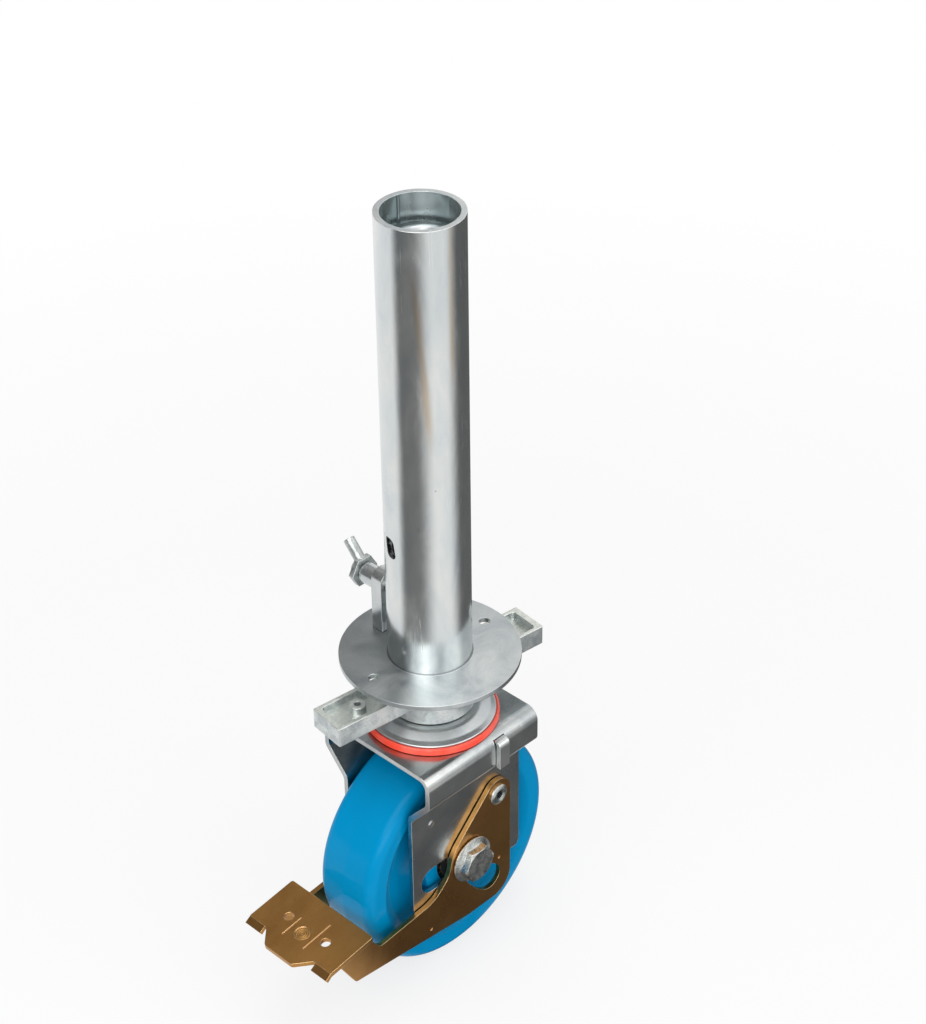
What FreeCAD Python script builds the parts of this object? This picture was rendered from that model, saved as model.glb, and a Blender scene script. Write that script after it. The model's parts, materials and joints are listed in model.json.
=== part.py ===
import FreeCAD, Part
import math
import os
import re

import Sketcher

# Scaffold castor with load centring brake, millimetres.
# Z is the spindle axis, X the rolling direction with the pedal towards -X,
# Y the axle. The floor is at z = 0 and the spindle axis passes through the origin.

# Driving dimensions
SIZES = {
    # frame tube and its flange
    "tube_od": 48.3,
    "tube_wall": 3.2,
    "tube_rim": 493.9,
    "flange_top": 214.5,
    "flange_thick": 3.0,
    "flange_od": 104.6,
    "flange_hole_inset": 11.83,
    "flange_hole_turn": -6.0,
    "flange_hole_d": 6.6,
    "weld_leg": 0.8,
    "clip_slot_wide": 8.5,
    "clip_slot_high": 12.5,
    "clip_slot_up": 80.0,
    "clip_slot_turn": 167.0,
    "clip_slot_lean": 1.2,
    # strip, boss and screw that hold the spindle in the tube
    "strip_wide": 14.0,
    "strip_thick": 8.0,
    "strip_gap": 6.6,
    "strip_side": -1.0,
    "strip_high": 39.5,
    "strip_round": 6.5,
    "screw_up": 30.0,
    "boss_od": 12.8,
    "boss_reach": 12.0,
    "screw_d": 8.0,
    "collar_flats": 17.0,
    "collar_thick": 3.4,
    "hub_d": 13.0,
    "wing_d": 6.8,
    "wing_length": 15.6,
    "wing_rise": 5.0,
    "wing_tilt": 50.0,
    "wing_sway": 8.0,
    "pad_d": 8.4,
    "pad_thick": 2.6,
    # spindle and its nut
    "spindle_od": 38.0,
    "spindle_bore_d": 19.0,
    "spindle_drop": 15.0,
    "nut_od": 51.6,
    "nut_high": 32.0,
    "arm_drop": 9.6,
    "arm_high": 12.0,
    "arm_wide": 24.5,
    "arm_span": 149.0,
    "arm_turn": -6.5,
    "arm_corner": 0.8,
    "trough_side": 2.4,
    "trough_end": 4.0,
    "trough_deep": 5.0,
    "trough_round": 2.5,
    "trough_root": 4.2,
    "trough_boss_inset": 22.0,
    "trough_boss_d": 9.4,
    "trough_hole_d": 4.0,
    # swivel head
    "crown_od": 75.4,
    "crown_edge_low": 3.1,
    "crown_edge_high": 5.4,
    "crown_slope": 12.2,
    "crown_hub_high": 10.6,
    "spigot_high": 7.0,
    "seal_lip": 1.9,
    "seal_high": 4.7,
    "upper_race_inset": 10.7,
    "upper_ball_d": 7.0,
    "upper_balls": 16,
    "upper_ball_up": 4.3,
    "lower_race_d": 36.0,
    "lower_ball_d": 5.0,
    "lower_balls": 14,
    "lower_ball_down": 3.6,
    "race_wide": 9.0,
    "race_thick": 2.8,
    "lower_race_thick": 1.8,
    "cup_od": 49.0,
    "cup_floor": 4.0,
    "cup_rim": 6.6,
    "king_d": 16.0,
    "king_head_d": 24.0,
    "king_head_thick": 3.0,
    "king_nut_flats": 24.0,
    "king_nut_high": 8.0,
    "king_tip": 2.0,
    "well_spare": 3.0,
    # fork, one pressed sheet
    "plate_top": 168.0,
    "fork_sheet": 3.0,
    "fork_front": 45.4,
    "fork_rear": 44.3,
    "skirt_out": 43.0,
    "skirt_low": 147.0,
    "leg_out": 28.0,
    "leg_high": 130.0,
    "leg_low": 55.5,
    "bend_out": 8.0,
    "crease_out": 6.0,
    "leg_corner": 4.0,
    "king_hole_d": 24.0,
    "dimple_x": -29.6,
    "dimple_z": 118.3,
    "dimple_d": 5.0,
    "dimple_high": 0.45,
    # axle, wheel and bearings
    "axle_x": -1.0,
    "axle_z": 75.0,
    "axle_travel": 27.0,
    "slot_spare": 2.0,
    "axle_d": 14.0,
    "sleeve_od": 17.0,
    "wheel_d": 150.0,
    "wheel_wide": 44.0,
    "tread_crown": 1.0,
    "wheel_round": 7.0,
    "rim_wide": 14.0,
    "dish_slope": 8.0,
    "web_depth": 6.0,
    "hub_out_d": 62.0,
    "hub_wide": 46.0,
    "bearing_od": 40.0,
    "bearing_wide": 12.0,
    "bearing_ring": 3.2,
    "bearing_ball_d": 6.0,
    "bearing_balls": 8,
    "shield_thick": 0.8,
    "spacer_wall": 2.5,
    "washer_od": 24.0,
    "bolt_flange_d": 30.0,
    "bolt_flange_edge": 1.2,
    "bolt_flange_thick": 3.4,
    "bolt_flats": 21.0,
    "bolt_head_high": 4.6,
    "nut_hex_high": 9.0,
    "bolt_end": 2.5,
    # brake lever, one bent sheet with two cheeks
    "lever_sheet": 3.0,
    "lever_turn": 48.0,
    "pivot_x": 22.5,
    "pivot_z": 110.5,
    "pivot_head": 10.4,
    "rivet_d": 10.0,
    "rivet_bore": 5.4,
    "rivet_head_d": 13.4,
    "rivet_head_thick": 2.2,
    "rivet_foot": 1.5,
    "pedal_rear_x": -84.4,
    "pedal_rear_z": 71.0,
    "pedal_tilt": 8.1,
    "pedal_wide": 68.8,
    "pedal_deep": 34.2,
    "pedal_tongue": 9.6,
    "tongue_base": 20.2,
    "tongue_tip": 11.4,
    "lip_deep": 5.0,
    "lip_turn": 30.0,
    "lip_gap": 1.5,
    "pedal_hole_at": 20.2,
    "pedal_hole_side": 15.5,
    "pedal_hole_d": 6.2,
    "groove_side": 8.8,
    "groove_wide": 1.2,
    "groove_deep": 0.5,
    "groove_end": 2.5,
    "groove_short": 16.5,
    "groove_long": 9.5,
    "stamp_at": 24.0,
    "stamp_d": 10.0,
    "mark_d": 2.2,
    "mark_deep": 0.5,
    # side view of a cheek, from the axle, the pedal's rear edge and the floor
    "neck_x": 4.3,
    "back_high_x": 14.8,
    "back_high_z": 12.0,
    "back_low_x": 18.3,
    "back_low_z": 3.0,
    "back_foot_x": 30.8,
    "back_foot_z": 14.5,
    "throat_x": 8.0,
    "throat_z": 15.0,
    "shoulder_x": 2.0,
    "shoulder_z": 2.2,
    "nose_x": 26.0,
    "nose_z": 5.5,
    "chin_x": 12.2,
    "chin_z": 29.0,
    "sole_x": 2.8,
    "sole_z": 31.0,
    # swivel lock plate and brake shoe
    "lock_thick": 3.0,
    "lock_ring_wide": 5.0,
    "lock_travel": 3.0,
    "tab_x": 13.2,
    "tab_wide": 8.0,
    "tab_low": 146.0,
    "tab_bend": 3.4,
    "shoe_wide": 36.0,
    "shoe_sheet": 4.0,
    "shoe_hook": 11.0,
    "shoe_deep": 16.0,
    "shoe_top": 74.0,
    "shoe_low": 50.0,
    # clearances
    "slide_gap": 0.3,
    "nut_room": 0.65,
    "pin_gap": 0.1,
    "thread_gap": 0.35,
    "ball_gap": 0.3,
    "cheek_gap": 0.6,
    "tab_gap": 0.5,
    "shoe_gap": 1.0,
    "lock_gap": 2.6,
}

# Places worked out from the driving dimensions
PLACES = {
    "tube_r": "tube_od / 2",
    "tube_bore_r": "tube_r - tube_wall",
    "flange_low": "flange_top - flange_thick",
    "flange_hole_r": "(flange_od / 2 - flange_hole_inset)",
    "flange_hole_x": "flange_hole_r * cos(flange_hole_turn * 1 deg)",
    "flange_hole_y": "flange_hole_r * sin(flange_hole_turn * 1 deg)",
    "strip_near": "tube_r + strip_gap",
    "strip_far": "strip_near + strip_thick",
    "screw_z": "flange_top + screw_up",
    "boss_far": "strip_far + boss_reach",
    "spindle_r": "spindle_od / 2",
    "spindle_bore_r": "spindle_bore_d / 2",
    "spindle_top": "tube_rim - spindle_drop",
    "nut_top": "flange_low - slide_gap",
    "nut_low": "nut_top - nut_high",
    "arm_top": "nut_top - arm_drop",
    "arm_low": "arm_top - arm_high",
    "trough_boss_at": "(arm_span / 2 - trough_boss_inset)",
    "plate_low": "plate_top - fork_sheet",
    "crown_low": "plate_top + crown_edge_low",
    "crown_top": "plate_top + crown_hub_high",
    "crown_r": "crown_od / 2",
    "crown_rim_low": "plate_top + crown_edge_high - 1.9",
    "crown_hub_r": "crown_r - crown_slope",
    "upper_race_d": "(crown_od - upper_race_inset * 2)",
    "spigot_top": "crown_top + spigot_high",
    "well_r": "(king_nut_flats / 1.7320508 + nut_room)",
    "king_end": "spigot_top + king_nut_high + king_tip",
    "upper_ball_z": "plate_top + upper_ball_up",
    "lower_ball_z": "plate_low - lower_ball_down",
    "cup_top": "lower_ball_z - 1.2",
    "cup_low": "cup_top - cup_floor",
    "king_r": "king_d / 2",
    "leg_in": "leg_out - fork_sheet",
    "lever_in": "leg_out + cheek_gap",
    "lever_out": "lever_in + lever_sheet",
    "head_face": "lever_out + slide_gap",
    "axle_r": "axle_d / 2",
    "sleeve_r": "sleeve_od / 2",
    "wheel_r": "wheel_d / 2",
    "wheel_half": "wheel_wide / 2",
    "hub_half": "hub_wide / 2",
    "bearing_r": "bearing_od / 2",
    "bearing_out_y": "hub_half - slide_gap",
    "bearing_in_y": "bearing_out_y - bearing_wide",
    "ring_mid_r": "(bearing_od + sleeve_od) / 4",
    "flange_face": "head_face + bolt_flange_thick",
    "lock_top": "plate_low - slide_gap",
    "lock_low": "lock_top - lock_thick",
    "tab_in": "skirt_out + slide_gap",
    "tab_out": "tab_in + lock_thick",
    "lock_ring_r": "(cup_od / 2 + lock_gap)",
}

DOC = FreeCAD.newDocument("scaffold_castor")
SHEET = DOC.addObject("Spreadsheet::Sheet", "Sizes")
X_AXIS = FreeCAD.Vector(1, 0, 0)
Y_AXIS = FreeCAD.Vector(0, 1, 0)
Z_AXIS = FreeCAD.Vector(0, 0, 1)
ALONG_NEAR = FreeCAD.Rotation(X_AXIS, 90)
ALONG_FAR = FreeCAD.Rotation(X_AXIS, -90)
NODES = []


def fill_sheet():
    for row, (name, size) in enumerate(SIZES.items(), start=1):
        SHEET.set(f"A{row}", name)
        SHEET.set(f"B{row}", str(size))
        SHEET.setAlias(f"B{row}", name)
    DOC.recompute()


def expand(text):
    """Writes a formula of sizes and places as one of sheet cells alone."""
    def swap(match):
        word = match.group(0)
        if word in PLACES:
            return "(" + expand(PLACES[word]) + ")"
        if word in SIZES:
            return "Sizes." + word
        return word
    return re.sub(r"[a-z_]+[a-z0-9_]*", swap, str(text))


def value(text):
    return float(SHEET.evalExpression(expand(text)))


def bind(thing, prop, text):
    thing.setExpression(prop, expand(text))


def node(thing, name):
    thing.Label = name
    NODES.append(thing)
    return thing


def new_body(name):
    return node(DOC.addObject("PartDesign::Body", name), name)


def sketch_on(body, role, lift="0", turn=0.0):
    """A sketch on one of the body's own planes, lifted along its normal."""
    sketch = body.newObject("Sketcher::SketchObject", body.Name + "_sketch")
    plane = [item for item in body.Origin.OriginFeatures if item.Role == role][0]
    sketch.AttachmentSupport = [(plane, "")]
    sketch.MapMode = "FlatFace"
    sketch.AttachmentOffset = FreeCAD.Placement(
        FreeCAD.Vector(0, 0, value(lift)), FreeCAD.Rotation(Y_AXIS, turn))
    bind(sketch, "AttachmentOffset.Base.z", lift)
    return sketch


def pin_point(sketch, shape, end, across, up):
    for kind, text in (("DistanceX", across), ("DistanceY", up)):
        rule = Sketcher.Constraint(kind, -1, 1, shape, end, value(text))
        bind(sketch, f"Constraints[{sketch.addConstraint(rule)}]", text)


def outline(sketch, corners):
    """A closed outline through corners (across, up) or (across, up, radius)."""
    first = sketch.GeometryCount
    count = len(corners)
    spots = [FreeCAD.Vector(value(c[0]), value(c[1]), 0) for c in corners]
    for i in range(count):
        sketch.addGeometry(Part.LineSegment(spots[i], spots[(i + 1) % count]), False)
    for i in range(count):
        sketch.addConstraint(
            Sketcher.Constraint("Coincident", first + i, 2, first + (i + 1) % count, 1))
    for i, corner in enumerate(corners):
        pin_point(sketch, first + i, 1, corner[0], corner[1])
    for i, corner in enumerate(corners):
        if len(corner) == 3:
            round_corner(sketch, first + (i - 1) % count, first + i, spots, i, corner[2])


def round_corner(sketch, before, after, spots, i, radius):
    here = spots[i]
    back = (spots[i - 1] - here).normalize()
    ahead = (spots[(i + 1) % len(spots)] - here).normalize()
    size = value(radius)
    sketch.fillet(before, after, here + back * size, here + ahead * size, size, True, True)
    arc = sketch.GeometryCount - 2
    rule = sketch.addConstraint(Sketcher.Constraint("Radius", arc, size))
    bind(sketch, f"Constraints[{rule}]", radius)


def circle(sketch, across, up, radius):
    spot = FreeCAD.Vector(value(across), value(up), 0)
    shape = sketch.addGeometry(Part.Circle(spot, Z_AXIS, value(radius)), False)
    pin_point(sketch, shape, 3, across, up)
    rule = sketch.addConstraint(Sketcher.Constraint("Radius", shape, value(radius)))
    bind(sketch, f"Constraints[{rule}]", radius)


def pad(body, sketch, length, both=False, backwards=False):
    feature = body.newObject("PartDesign::Pad", body.Name + "_pad")
    feature.Profile = sketch
    feature.Midplane = both
    feature.Reversed = backwards
    bind(feature, "Length", length)
    DOC.recompute()
    return feature


def cut(body, sketch, length, both=False, backwards=False):
    """A pocket that has to remove material, or the build stops."""
    before = body.Shape.Volume
    feature = body.newObject("PartDesign::Pocket", body.Name + "_cut")
    feature.Profile = sketch
    feature.Midplane = both
    feature.Reversed = backwards
    bind(feature, "Length", length)
    DOC.recompute()
    if not body.Shape.Volume < before:
        raise RuntimeError(f"{feature.Name} removes nothing")
    return feature


def turn(body, corners):
    """A solid of revolution about the body's own Z, profile in (radius, height)."""
    sketch = sketch_on(body, "XZ_Plane")
    outline(sketch, corners)
    feature = body.newObject("PartDesign::Revolution", body.Name + "_turned")
    feature.Profile = sketch
    feature.ReferenceAxis = (sketch, ["V_Axis"])
    feature.Angle = 360
    DOC.recompute()
    return feature


def place(thing, rotation, x="0", y="0", z="0"):
    thing.Placement = FreeCAD.Placement(
        FreeCAD.Vector(value(x), value(y), value(z)), rotation)
    for axis, text in (("x", x), ("y", y), ("z", z)):
        bind(thing, f"Placement.Base.{axis}", text)


# Frame tube, flange and spindle screw


def frame_tube():
    body = new_body("frame_tube")
    turn(body, [
        ("tube_bore_r", "flange_low"), ("tube_r", "flange_low"),
        ("tube_r", "tube_rim"), ("tube_bore_r", "tube_rim")])
    slot = sketch_on(body, "XZ_Plane", turn=value("clip_slot_turn") + 90)
    half = "clip_slot_wide / 2"
    low = "flange_top + clip_slot_up - clip_slot_high / 2"
    high = "flange_top + clip_slot_up + clip_slot_high / 2"
    lean = "clip_slot_lean"
    round_end = half + " * 0.7"
    outline(slot, [
        (f"{lean} - {half}", low, round_end), (f"{lean} + {half}", low, round_end),
        (f"{half} - {lean}", high, round_end), (f"-{half} - {lean}", high, round_end)])
    cut(body, slot, "tube_od * 2", both=True)
    hole = sketch_on(body, "XZ_Plane")
    circle(hole, "strip_side", "screw_z", "pad_d / 2 + slide_gap")
    cut(body, hole, "tube_od")


def tube_flange():
    body = new_body("tube_flange")
    turn(body, [
        ("tube_r", "flange_low"), ("flange_od / 2", "flange_low"),
        ("flange_od / 2", "flange_top"), ("tube_r + weld_leg", "flange_top"),
        ("tube_r", "flange_top + weld_leg")])
    holes = sketch_on(body, "XY_Plane", "flange_low")
    circle(holes, "flange_hole_x", "flange_hole_y", "flange_hole_d / 2")
    circle(holes, "-flange_hole_x", "-flange_hole_y", "flange_hole_d / 2")
    cut(body, holes, "flange_thick", backwards=True)
    slot = sketch_on(body, "XY_Plane", "flange_low")
    half = "(strip_wide / 2 + slide_gap)"
    outline(slot, [
        ("strip_side - " + half, "strip_near - slide_gap"),
        ("strip_side + " + half, "strip_near - slide_gap"),
        ("strip_side + " + half, "strip_far + slide_gap"),
        ("strip_side - " + half, "strip_far + slide_gap")])
    cut(body, slot, "flange_thick", backwards=True)


def retaining_strip():
    body = new_body("retaining_strip")
    bar = sketch_on(body, "XZ_Plane", "-strip_far")
    half = "strip_wide / 2"
    top = "flange_top + strip_high"
    outline(bar, [
        ("strip_side - " + half, "flange_low"), ("strip_side + " + half, "flange_low"),
        ("strip_side + " + half, top, "strip_round"), ("strip_side - " + half, top, "strip_round")])
    circle(bar, "strip_side", "screw_z", "screw_d / 2 + thread_gap")
    pad(body, bar, "strip_thick")


def screw_boss():
    body = new_body("screw_boss")
    turn(body, [
        ("screw_d / 2 + thread_gap", "strip_far"), ("boss_od / 2", "strip_far"),
        ("boss_od / 2", "boss_far - 1"), ("boss_od / 2 - 1", "boss_far"),
        ("screw_d / 2 + thread_gap", "boss_far")])
    place(body, ALONG_FAR, "strip_side", "0", "screw_z")


def retaining_screw():
    """Screw with a thin hexagon collar, a domed hub and one bent wing."""
    shank = DOC.addObject("Part::Cylinder", "screw_shank")
    bind(shank, "Radius", "screw_d / 2")
    start = "spindle_r + slide_gap + pad_thick + slide_gap"
    bind(shank, "Height", f"boss_far + 1 - ({start})")
    bind(shank, "Placement.Base.z", start)
    collar = DOC.addObject("Part::Prism", "screw_collar")
    collar.Polygon = 6
    bind(collar, "Circumradius", "collar_flats / 1.7320508")
    bind(collar, "Height", "collar_thick")
    bind(collar, "Placement.Base.z", "boss_far + slide_gap")
    hub = DOC.addObject("Part::Sphere", "screw_hub")
    hub.Angle1 = 0
    middle = "boss_far + slide_gap + collar_thick * 0.7"
    bind(hub, "Radius", "hub_d / 2")
    bind(hub, "Placement.Base.z", middle)
    wing = DOC.addObject("Part::Cylinder", "screw_wing")
    bind(wing, "Radius", "wing_d / 2")
    bind(wing, "Height", "wing_length")
    lean = FreeCAD.Rotation(X_AXIS, 90 - value("wing_tilt"))
    sway = FreeCAD.Rotation(Z_AXIS, value("wing_sway"))
    place(wing, sway.multiply(lean), y="-wing_rise", z=middle)
    screw = DOC.addObject("Part::MultiFuse", "retaining_screw")
    screw.Shapes = [shank, collar, hub, wing]
    place(node(screw, "retaining_screw"), ALONG_FAR, "strip_side", "0", "screw_z")


def pressure_pad():
    body = new_body("pressure_pad")
    turn(body, [
        ("0", "spindle_r + slide_gap"), ("pad_d / 2 - 0.6", "spindle_r + slide_gap"),
        ("pad_d / 2", "spindle_r + slide_gap + 0.6"),
        ("pad_d / 2", "spindle_r + slide_gap + pad_thick"),
        ("0", "spindle_r + slide_gap + pad_thick")])
    place(body, ALONG_FAR, "strip_side", "0", "screw_z")


# Spindle and nut


def spindle():
    """Drilled bar, with a wider well at its foot for the swivel's king nut."""
    body = new_body("spindle")
    turn(body, [
        ("well_r", "crown_top"), ("spindle_r", "crown_top"),
        ("spindle_r", "spindle_top - 1.5"), ("spindle_r - 1.5", "spindle_top"),
        ("spindle_bore_r", "spindle_top"), ("spindle_bore_r", "king_end + well_spare"),
        ("well_r", "king_end + well_spare")])


def spindle_nut():
    """Cast nut: a collar with two open channel arms."""
    body = new_body("spindle_nut")
    bore = "spindle_r + thread_gap"
    turn(body, [
        (bore, "nut_low"), ("nut_od / 2 - 1", "nut_low"), ("nut_od / 2", "nut_low + 1"),
        ("nut_od / 2", "nut_top - 1"), ("nut_od / 2 - 1", "nut_top"), (bore, "nut_top")])
    arms = sketch_on(body, "XY_Plane", "arm_low")
    tip = "arm_span / 2"
    side = "arm_wide / 2"
    outline(arms, [
        ("-" + tip, "-" + side, "arm_corner"), (tip, "-" + side, "arm_corner"),
        (tip, side, "arm_corner"), ("-" + tip, side, "arm_corner")])
    pad(body, arms, "arm_high")
    troughs = sketch_on(body, "XY_Plane", "arm_top")
    root = "(nut_od / 2 + trough_root)"
    end = "(arm_span / 2 - trough_end)"
    wall = "(arm_wide / 2 - trough_side)"
    for sign in ("", "-"):
        outline(troughs, [
            (f"{sign}{root}", f"-{wall}", "trough_round"), (f"{sign}{end}", f"-{wall}", "trough_round"),
            (f"{sign}{end}", wall, "trough_round"), (f"{sign}{root}", wall, "trough_round")])
        circle(troughs, f"{sign}trough_boss_at", "0", "trough_boss_d / 2")
    cut(body, troughs, "trough_deep")
    holes = sketch_on(body, "XY_Plane", "arm_top")
    for sign in ("", "-"):
        circle(holes, f"{sign}trough_boss_at", "0", "trough_hole_d / 2")
    cut(body, holes, "arm_high")
    through = sketch_on(body, "XY_Plane", "nut_top")
    circle(through, "0", "0", bore)
    cut(body, through, "nut_high")
    body.Placement = FreeCAD.Placement(
        FreeCAD.Vector(), FreeCAD.Rotation(Z_AXIS, value("arm_turn")))


# Swivel head


def ring_of_balls(name, count, ball, ring, height, rotation=None, x="0", y="0", z="0"):
    """Separate balls in a ring about Z, as one node."""
    balls = []
    for i in range(int(value(count))):
        angle = 2 * math.pi * i / int(value(count))
        spot = FreeCAD.Vector(
            value(ring) / 2 * math.cos(angle), value(ring) / 2 * math.sin(angle), value(height))
        balls.append(Part.makeSphere(value(ball) / 2, spot))
    feature = node(DOC.addObject("Part::Feature", name), name)
    feature.Shape = Part.makeCompound(balls)
    feature.Placement = FreeCAD.Placement(
        FreeCAD.Vector(value(x), value(y), value(z)), rotation or FreeCAD.Rotation())


def turn_off(body, sketch):
    """A groove turned into the body, which has to remove material."""
    before = body.Shape.Volume
    feature = body.newObject("PartDesign::Groove", body.Name + "_turned_off")
    feature.Profile = sketch
    feature.ReferenceAxis = (sketch, ["V_Axis"])
    feature.Angle = 360
    DOC.recompute()
    if not body.Shape.Volume < before:
        raise RuntimeError(f"{feature.Name} removes nothing")


def groove(body, ring, height, ball):
    """A ball track."""
    sketch = sketch_on(body, "XZ_Plane")
    circle(sketch, ring, height, ball + " + ball_gap")
    turn_off(body, sketch)


def crown_disc():
    """Domed top race, with the spigot that centres the spindle."""
    body = new_body("crown_disc")
    inner = "king_r + slide_gap"
    turn(body, [
        (inner, "crown_low"), ("crown_r - 4", "crown_low"), ("crown_r - 3", "crown_rim_low"),
        ("crown_r", "crown_rim_low"), ("crown_r", "plate_top + crown_edge_high", "0.8"),
        ("crown_r - 3.2", "plate_top + crown_edge_high + 1.2", "3"),
        ("crown_hub_r + 3.5", "crown_top - 0.3", "5"), ("crown_hub_r", "crown_top"),
        ("well_r", "crown_top"), ("well_r", "spigot_top"), (inner, "spigot_top")])
    groove(body, "upper_race_d / 2", "upper_ball_z", "upper_ball_d / 2")


def seal_ring():
    body = new_body("seal_ring")
    turn(body, [
        ("crown_r - 3.6", "plate_top + slide_gap"),
        ("crown_r + seal_lip", "plate_top + slide_gap", "0.5"),
        ("crown_r + seal_lip", "plate_top + seal_high - 0.8", "0.4"),
        ("crown_r + 0.9", "plate_top + seal_high"), ("crown_r", "plate_top + seal_high - 0.5"),
        ("crown_r", "crown_rim_low"), ("crown_r - 3", "crown_rim_low")])


def race(name, ring, low, high, ball_z, ball):
    body = new_body(name)
    inner = f"{ring} / 2 - race_wide / 2"
    outer = f"{ring} / 2 + race_wide / 2"
    turn(body, [(inner, low), (outer, low), (outer, high), (inner, high)])
    groove(body, f"{ring} / 2", ball_z, f"{ball} / 2")


def lower_cup():
    """Cup under the fork plate, its hub reaching up to the crown disc."""
    body = new_body("lower_cup")
    turn(body, [
        ("king_r + slide_gap", "cup_low"), ("cup_od / 2", "cup_low", "2.5"),
        ("cup_od / 2", "cup_low + cup_rim", "0.6"), ("cup_od / 2 - 1.5", "cup_low + cup_rim"),
        ("cup_od / 2 - 1.5", "cup_top"), ("king_hole_d / 2 - 0.6", "cup_top"),
        ("king_hole_d / 2 - 0.6", "crown_low"), ("king_r + slide_gap", "crown_low")])
    groove(body, "lower_race_d / 2", "lower_ball_z", "lower_ball_d / 2")


def king_bolt():
    body = new_body("king_bolt")
    turn(body, [
        ("0", "cup_low - king_head_thick"), ("king_head_d / 2 - 1.5", "cup_low - king_head_thick"),
        ("king_head_d / 2", "cup_low - 1"), ("king_head_d / 2", "cup_low"),
        ("king_r", "cup_low"), ("king_r", "king_end - 1"),
        ("king_r - 1", "king_end"), ("0", "king_end")])


def hexagon(name, flats, height, bore, low):
    body = new_body(name)
    sketch = sketch_on(body, "XY_Plane", low)
    hexagon_outline(sketch, flats)
    circle(sketch, "0", "0", bore)
    pad(body, sketch, height)
    bevel_corners(body, flats, f"({low} + {height})")


def hexagon_outline(sketch, flats):
    corner = f"{flats} / 1.7320508"
    half = f"{flats} / 2"
    outline(sketch, [
        (corner, "0"), (f"{corner} / 2", half), (f"-{corner} / 2", half),
        (f"-{corner}", "0"), (f"-{corner} / 2", f"-{half}"), (f"{corner} / 2", f"-{half}")])


def bevel_corners(body, flats, top):
    """Turns the corners off a hexagon's upper end at thirty degrees."""
    sketch = sketch_on(body, "XZ_Plane")
    reach = f"({flats} / 1.7320508 + 0.5)"
    start = f"({flats} / 2 - 0.3)"
    outline(sketch, [(start, top), (reach, top), (reach, f"{top} - ({reach} - {start}) * tan(30 deg)")])
    turn_off(body, sketch)


def swivel_head():
    crown_disc()
    seal_ring()
    race("upper_race", "upper_race_d", "plate_top", "plate_top + race_thick",
         "upper_ball_z", "upper_ball_d")
    ring_of_balls("upper_race_balls", "upper_balls", "upper_ball_d", "upper_race_d", "upper_ball_z")
    race("lower_race", "lower_race_d", "plate_low - lower_race_thick", "plate_low",
         "lower_ball_z", "lower_ball_d")
    ring_of_balls("lower_race_balls", "lower_balls", "lower_ball_d", "lower_race_d", "lower_ball_z")
    lower_cup()
    king_bolt()
    hexagon("king_nut", "king_nut_flats", "king_nut_high", "king_r", "spigot_top")


# Fork


def fork():
    """One pressed sheet: plate, skirts, sloping shoulders and two slotted legs."""
    body = new_body("fork")
    section = sketch_on(body, "YZ_Plane", "-fork_front")
    outline(section, fork_section())
    pad(body, section, "fork_front + fork_rear")
    cut_leg_corners(body)
    cut_axle_slot(body)
    cut_tab_slots(body)
    bore = sketch_on(body, "XY_Plane", "plate_top")
    circle(bore, "0", "0", "king_hole_d / 2")
    cut(body, bore, "fork_sheet")
    add_dimples(body)


def fork_section():
    """Outer line of the bent sheet on one side, then the inner one, mirrored."""
    slope = "fork_sheet / 2"
    outer = [
        ("leg_out", "leg_low"), ("leg_out", "leg_high", "crease_out"),
        ("skirt_out", "skirt_low", "crease_out"), ("skirt_out", "plate_top", "bend_out")]
    inner = [
        ("skirt_out - fork_sheet", "plate_low", "bend_out - fork_sheet"),
        ("skirt_out - fork_sheet", f"skirt_low + {slope}", "crease_out"),
        ("leg_in", f"leg_high + {slope}", "crease_out"), ("leg_in", "leg_low")]
    mirror = lambda points: [("-(" + p[0] + ")",) + p[1:] for p in reversed(points)]
    return outer + mirror(outer) + mirror(inner) + inner


def cut_leg_corners(body):
    """Rounds the feet of both legs at once."""
    for edge_x, sign in (("-fork_front", "+"), ("fork_rear", "-")):
        corner = sketch_on(body, "XZ_Plane", "-leg_out - 1")
        outline(corner, [
            (edge_x, "leg_low"), (f"{edge_x} {sign} leg_corner / 2", "leg_low"),
            (edge_x, "leg_low + leg_corner")])
        cut(body, corner, "leg_out * 2 + 2", backwards=True)


def slot_outline(sketch, left, right, up, radius):
    """A slot with round ends, as a rectangle with its corners fully rounded."""
    most = f"{radius} - 0.05"
    outline(sketch, [
        (f"{left} - {radius}", f"{up} - {radius}", most),
        (f"{right} + {radius}", f"{up} - {radius}", most),
        (f"{right} + {radius}", f"{up} + {radius}", most),
        (f"{left} - {radius}", f"{up} + {radius}", most)])


def cut_axle_slot(body):
    sketch = sketch_on(body, "XZ_Plane", "-leg_out - 1")
    slot_outline(sketch, "axle_x - axle_travel - slot_spare", "axle_x", "axle_z",
                 "(sleeve_r + slide_gap)")
    circle(sketch, "pivot_x", "pivot_z", "rivet_d / 2")
    cut(body, sketch, "leg_out * 2 + 2", backwards=True)


def cut_tab_slots(body):
    """Openings in the top bends, where the lock plate's tabs come out."""
    half = "(tab_wide / 2 + tab_gap)"
    for sign in ("", "-"):
        sketch = sketch_on(body, "XY_Plane", "lock_top + tab_gap")
        inner = f"{sign}(skirt_out - bend_out + 1)"
        outer = f"{sign}(skirt_out + 1)"
        outline(sketch, [
            ("tab_x - " + half, inner), ("tab_x + " + half, inner),
            ("tab_x + " + half, outer), ("tab_x - " + half, outer)])
        cut(body, sketch, "lock_thick + lock_travel + tab_gap * 2")


def add_dimples(body):
    for sign in (1, -1):
        bump = body.newObject("PartDesign::AdditiveCone", "fork_dimple")
        bind(bump, "Radius1", "dimple_d / 2")
        bind(bump, "Radius2", "dimple_d / 4")
        bind(bump, "Height", "dimple_high")
        side = "leg_out" if sign > 0 else "-leg_out"
        place(bump, ALONG_FAR if sign > 0 else ALONG_NEAR, "dimple_x", side, "dimple_z")
        DOC.recompute()


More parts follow.
